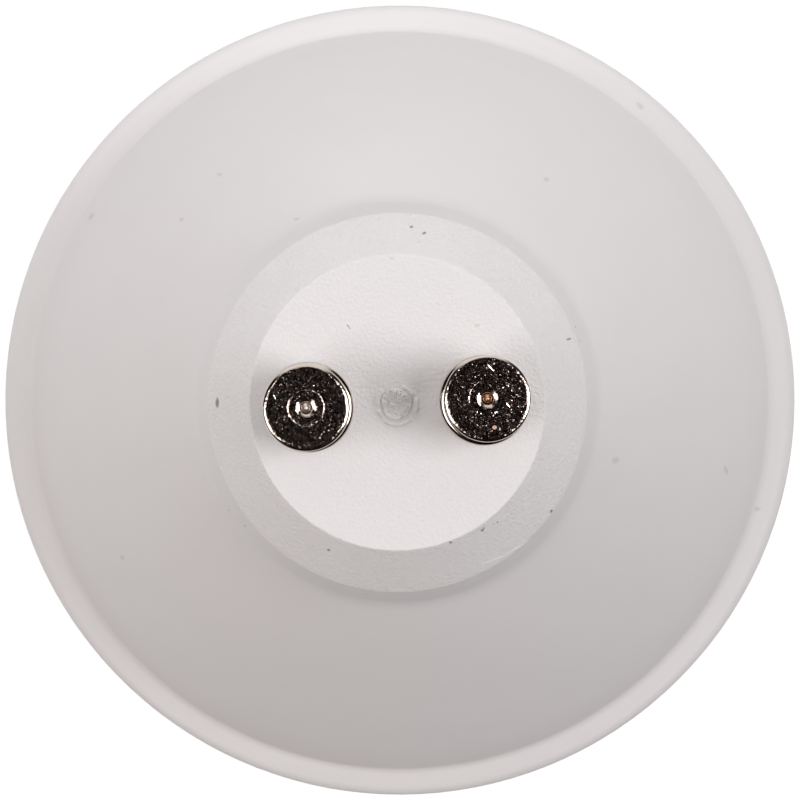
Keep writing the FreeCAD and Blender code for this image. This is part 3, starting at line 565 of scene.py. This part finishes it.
# White solder mask: a warm white, half glossy, creamier where the copper lies under it
white_mask, tree, shader, place = new_material("white_solder_mask", Roughness=0.4, IOR=1.5)
flat = add_node(tree, "VectorMath", {0: place, 1: (1, 1, 0)}, operation="MULTIPLY")
radius = add_node(tree, "VectorMath", {0: flat}, operation="LENGTH")
offset = add_node(tree, "Math", {0: radius, 1: track_middle}, operation="SUBTRACT")
offset = add_node(tree, "Math", {0: offset}, operation="ABSOLUTE")
track = add_node(tree, "MapRange", {
    "Value": offset, "From Min": track_half + track_edge, "From Max": track_half - track_edge})
clouds = add_node(tree, "TexNoise", {"Vector": place, "Scale": 1 / board_cloud_size, "Detail": 3.0})
shade = add_node(tree, "Mix", {"Factor": clouds, "A": "#ECE9E3", "B": "#F3F1EC"}, data_type="RGBA")
showing = add_node(tree, "Math", {0: track, 1: 0.6}, operation="MULTIPLY")
shade = add_node(tree, "Mix", {"Factor": showing, "A": shade, "B": "#E3DCCB"}, data_type="RGBA")
tree.links.new(shade, shader.inputs["Base Color"])
raised = add_node(tree, "Bump", {"Height": track, "Distance": track_depth})
tree.links.new(raised, shader.inputs["Normal"])
dress(white_mask, "led_board")


# The light sources: white moulded packages, soldered to the board's copper ring.
# Each has a window of phosphor that faces the front cover.

window_floor = 5.42
phosphor_size = 0.15
package_cloud_size = 0.6

# Moulded package: a clean white, half glossy, with grainy yellow phosphor in its window
package, tree, shader, place = new_material("white_package_with_phosphor", Roughness=0.35, IOR=1.52)
height = add_node(tree, "SeparateXYZ", {0: place}, "Z")
facing = add_node(tree, "SeparateXYZ", {0: add_node(tree, "NewGeometry", output="Normal")}, "Z")
downward = add_node(tree, "MapRange", {"Value": facing, "From Min": -0.8, "From Max": -0.95})
inside = add_node(tree, "MapRange", {
    "Value": height, "From Min": window_floor - 0.06, "From Max": window_floor - 0.02})
phosphor = add_node(tree, "Math", {0: downward, 1: inside}, operation="MULTIPLY")
grains = add_node(tree, "TexNoise", {"Vector": place, "Scale": 1 / phosphor_size, "Detail": 3.0})
yellow = add_node(tree, "Mix", {"Factor": grains, "A": "#E6C23C", "B": "#F2D65E"}, data_type="RGBA")
clouds = add_node(tree, "TexNoise", {"Vector": place, "Scale": 1 / package_cloud_size, "Detail": 3.0})
white = add_node(tree, "Mix", {"Factor": clouds, "A": "#EFEDE8", "B": "#F6F4F0"}, data_type="RGBA")
shade = add_node(tree, "Mix", {"Factor": phosphor, "A": white, "B": yellow}, data_type="RGBA")
tree.links.new(shade, shader.inputs["Base Color"])
dress(package, *(f"led_{number}" for number in range(1, 9)))


# The feed wires: stiff wire from the driver board to the light source board.
# They are soldered at both ends.

tin_cloud_size = 0.4

# Tinned copper: a plain silver grey, slightly dulled in patches
tinned, tree, shader, place = new_material("tinned_copper", Metallic=1.0, Roughness=0.28)
clouds = add_node(tree, "TexNoise", {"Vector": place, "Scale": 1 / tin_cloud_size, "Detail": 3.0})
shade = add_node(tree, "Mix", {"Factor": clouds, "A": "#B7B6B4", "B": "#D6D5D2"}, data_type="RGBA")
tree.links.new(shade, shader.inputs["Base Color"])
dress(tinned, "feed_wire_left", "feed_wire_right")


# The front cover: a disc moulded in polycarbonate, snapped into the groove of the rim.
# The light sources show through it, softened.

frost_size = 0.4

# Frosted polycarbonate: clear and colourless, with a fine unevenness that blurs what is behind it
polycarbonate, tree, shader, place = new_material(
    "frosted_polycarbonate", IOR=1.58, Transmission_Weight=1.0, Base_Color=linear("#FAFBFB"))
frost = add_node(tree, "TexNoise", {"Vector": place, "Scale": 1 / frost_size, "Detail": 3.0})
frost = add_node(tree, "MapRange", {"Value": frost, "To Min": 0.14, "To Max": 0.24})
tree.links.new(frost, shader.inputs["Roughness"])
even_copy("cover", "front_cover", polycarbonate)


# The floor: a plain pale table top. The camera and reflections see it white, with a faint shadow,
# and what light it throws up on the bulb is that of a grey sheet.

floor_size = 4.0
floor_level = -0.0001
bpy.ops.object.select_all(action="DESELECT")
bpy.ops.mesh.primitive_plane_add(size=floor_size, location=(0, 0, floor_level))
floor = bpy.context.object
floor.name = "floor"

# Paper: matt, and white where it is looked at
paper, tree, shader, _ = new_material("pale_paper")
tree.nodes.remove(shader)
path = add_node(tree, "LightPath").node.outputs
seen = add_node(tree, "Math", {0: path["Is Camera Ray"], 1: path["Is Glossy Ray"]}, operation="MAXIMUM")
seen = add_node(tree, "Math", {0: seen, 1: path["Is Transmission Ray"]}, operation="MAXIMUM")
glow = add_node(tree, "Emission", {"Color": "#FFFFFF", "Strength": 0.9})
sheet = add_node(tree, "BsdfDiffuse", {"Color": "#808080"})
bright = add_node(tree, "AddShader", {0: glow, 1: sheet})
grey = add_node(tree, "BsdfDiffuse", {"Color": "#949494"})
mixed = add_node(tree, "MixShader", {0: seen, 1: grey, 2: bright})
tree.links.new(mixed, tree.nodes["Material Output"].inputs["Surface"])
floor.data.materials.append(paper)


# The light: a softbox high up on each side of the bulb, and a white tent whose low wall is brightest on the
# side that is up in the photograph, and a little warm on the opposite side. The tent is open at the top, where
# the camera looks in. Metal shows the white wall and the dark room above it.

fill_light = 0.46
wall_light = 2.2
rear_way = (-0.26, 0.97, 0)
backdrop_way = (-0.05, 1, 0)
warm_way = (-0.37, -0.93, 0)
softbox_width = 0.34
softbox_height = 0.38
softboxes = (("right_softbox", -4, 66, 3.95), ("left_softbox", 194, 65, 2.25))

world = bpy.data.worlds.new("light_tent")
bpy.context.scene.world = world
world.use_nodes = True
tree = world.node_tree
background = tree.nodes["Background"]
way = add_node(tree, "TexCoord", output="Generated")
upness = add_node(tree, "SeparateXYZ", {0: way}, "Z")
level_way = add_node(tree, "VectorMath", {0: way, 1: (1, 1, 0)}, operation="MULTIPLY")
level_way = add_node(tree, "VectorMath", {0: level_way}, operation="NORMALIZE")

# What lights the bulb: the low wall and, above it, the rest of the tent
rear = add_node(tree, "VectorMath", {0: way, 1: rear_way}, operation="DOT_PRODUCT")
rear = add_node(tree, "MapRange", {"Value": rear, "From Min": -0.65, "From Max": 0.75})
low = add_node(tree, "MapRange", {"Value": upness, "From Min": 0.42, "From Max": 0.2})
wall = add_node(tree, "Math", {0: rear, 1: low}, operation="MULTIPLY")
wall = add_node(tree, "Math", {0: wall, 1: wall_light}, operation="MULTIPLY")
over_wall = add_node(tree, "MapRange", {"Value": upness, "From Min": 0.2, "From Max": 0.42})
under_opening = add_node(tree, "MapRange", {"Value": upness, "From Min": 0.86, "From Max": 0.74})
middle = add_node(tree, "Math", {0: over_wall, 1: under_opening}, operation="MULTIPLY")
middle = add_node(tree, "Math", {0: middle, 1: fill_light}, operation="MULTIPLY")
tent = add_node(tree, "Math", {0: wall, 1: middle}, operation="ADD")

# What metal shows: the white wall behind, up to the opening
behind = add_node(tree, "VectorMath", {0: level_way, 1: backdrop_way}, operation="DOT_PRODUCT")
behind = add_node(tree, "MapRange", {"Value": behind, "From Min": 0.76, "From Max": 0.9})
below_top = add_node(tree, "MapRange", {"Value": upness, "From Min": 0.93, "From Max": 0.88})
backdrop = add_node(tree, "Math", {0: behind, 1: below_top}, operation="MULTIPLY")

# The camera, and what is looked at through the cover, sees white
path = add_node(tree, "LightPath").node.outputs
seen = add_node(tree, "Math", {0: path["Is Camera Ray"], 1: path["Is Transmission Ray"]}, operation="MAXIMUM")
strength = add_node(tree, "Mix", {"Factor": path["Is Glossy Ray"], "A": tent, "B": backdrop})
strength = add_node(tree, "Mix", {"Factor": seen, "A": strength, "B": 1.0})
tree.links.new(strength, background.inputs["Strength"])
unseen = add_node(tree, "Math", {0: 1.0, 1: seen}, operation="SUBTRACT")
room = add_node(tree, "Background", {"Color": "#120A08", "Strength": unseen})
warm = add_node(tree, "VectorMath", {0: level_way, 1: warm_way}, operation="DOT_PRODUCT")
warm = add_node(tree, "MapRange", {"Value": warm, "From Min": 0.1, "From Max": 0.9})
lower = add_node(tree, "MapRange", {"Value": upness, "From Min": 0.62, "From Max": 0.36})
warm = add_node(tree, "Math", {0: warm, 1: lower}, operation="MULTIPLY")
warm = add_node(tree, "Math", {0: warm, 1: unseen}, operation="MULTIPLY")
tint = add_node(tree, "Mix", {"Factor": warm, "A": "#FFFFFF", "B": "#FFDCC8"}, data_type="RGBA")
tree.links.new(tint, background.inputs["Color"])
whole = add_node(tree, "AddShader", {0: background.outputs[0], 1: room})
tree.links.new(whole, tree.nodes["World Output"].inputs["Surface"])

# The softboxes stand a metre from the bulb: name, azimuth and elevation in degrees, and power in watts
for name, azimuth, elevation, power in softboxes:
    softbox = bpy.data.lights.new(name, "AREA")
    softbox.shape = "RECTANGLE"
    softbox.size = softbox_width
    softbox.size_y = softbox_height
    softbox.energy = power
    lamp = bpy.data.objects.new(name, softbox)
    lamp.location = Matrix.Rotation(math.radians(azimuth), 3, "Z") @ Vector(
        (math.cos(math.radians(elevation)), 0, math.sin(math.radians(elevation))))
    lamp.rotation_euler = lamp.location.to_track_quat("Z", "Y").to_euler()
    bpy.context.scene.collection.objects.link(lamp)


# The camera: high above the pins, a hair to one side of the axis, looking at the foot of the axis.
# It is turned a little, as the bulb is in the photograph.

camera_place = Vector((0.00134, 0.00126, 0.38835))
roll = math.radians(2.93)
back = camera_place.normalized()
right = Vector((math.cos(roll), -math.sin(roll), 0))
right = (right - back * right.dot(back)).normalized()
turn = Matrix((right, back.cross(right), back)).transposed()
camera = bpy.data.cameras.new("camera")
camera.lens = 273.5
camera.clip_start = 0.01
camera_object = bpy.data.objects.new("camera", camera)
camera_object.matrix_world = Matrix.Translation(camera_place) @ turn.to_4x4()
bpy.context.scene.collection.objects.link(camera_object)
bpy.context.scene.camera = camera_object

bpy.context.scene.view_settings.view_transform = "Standard"
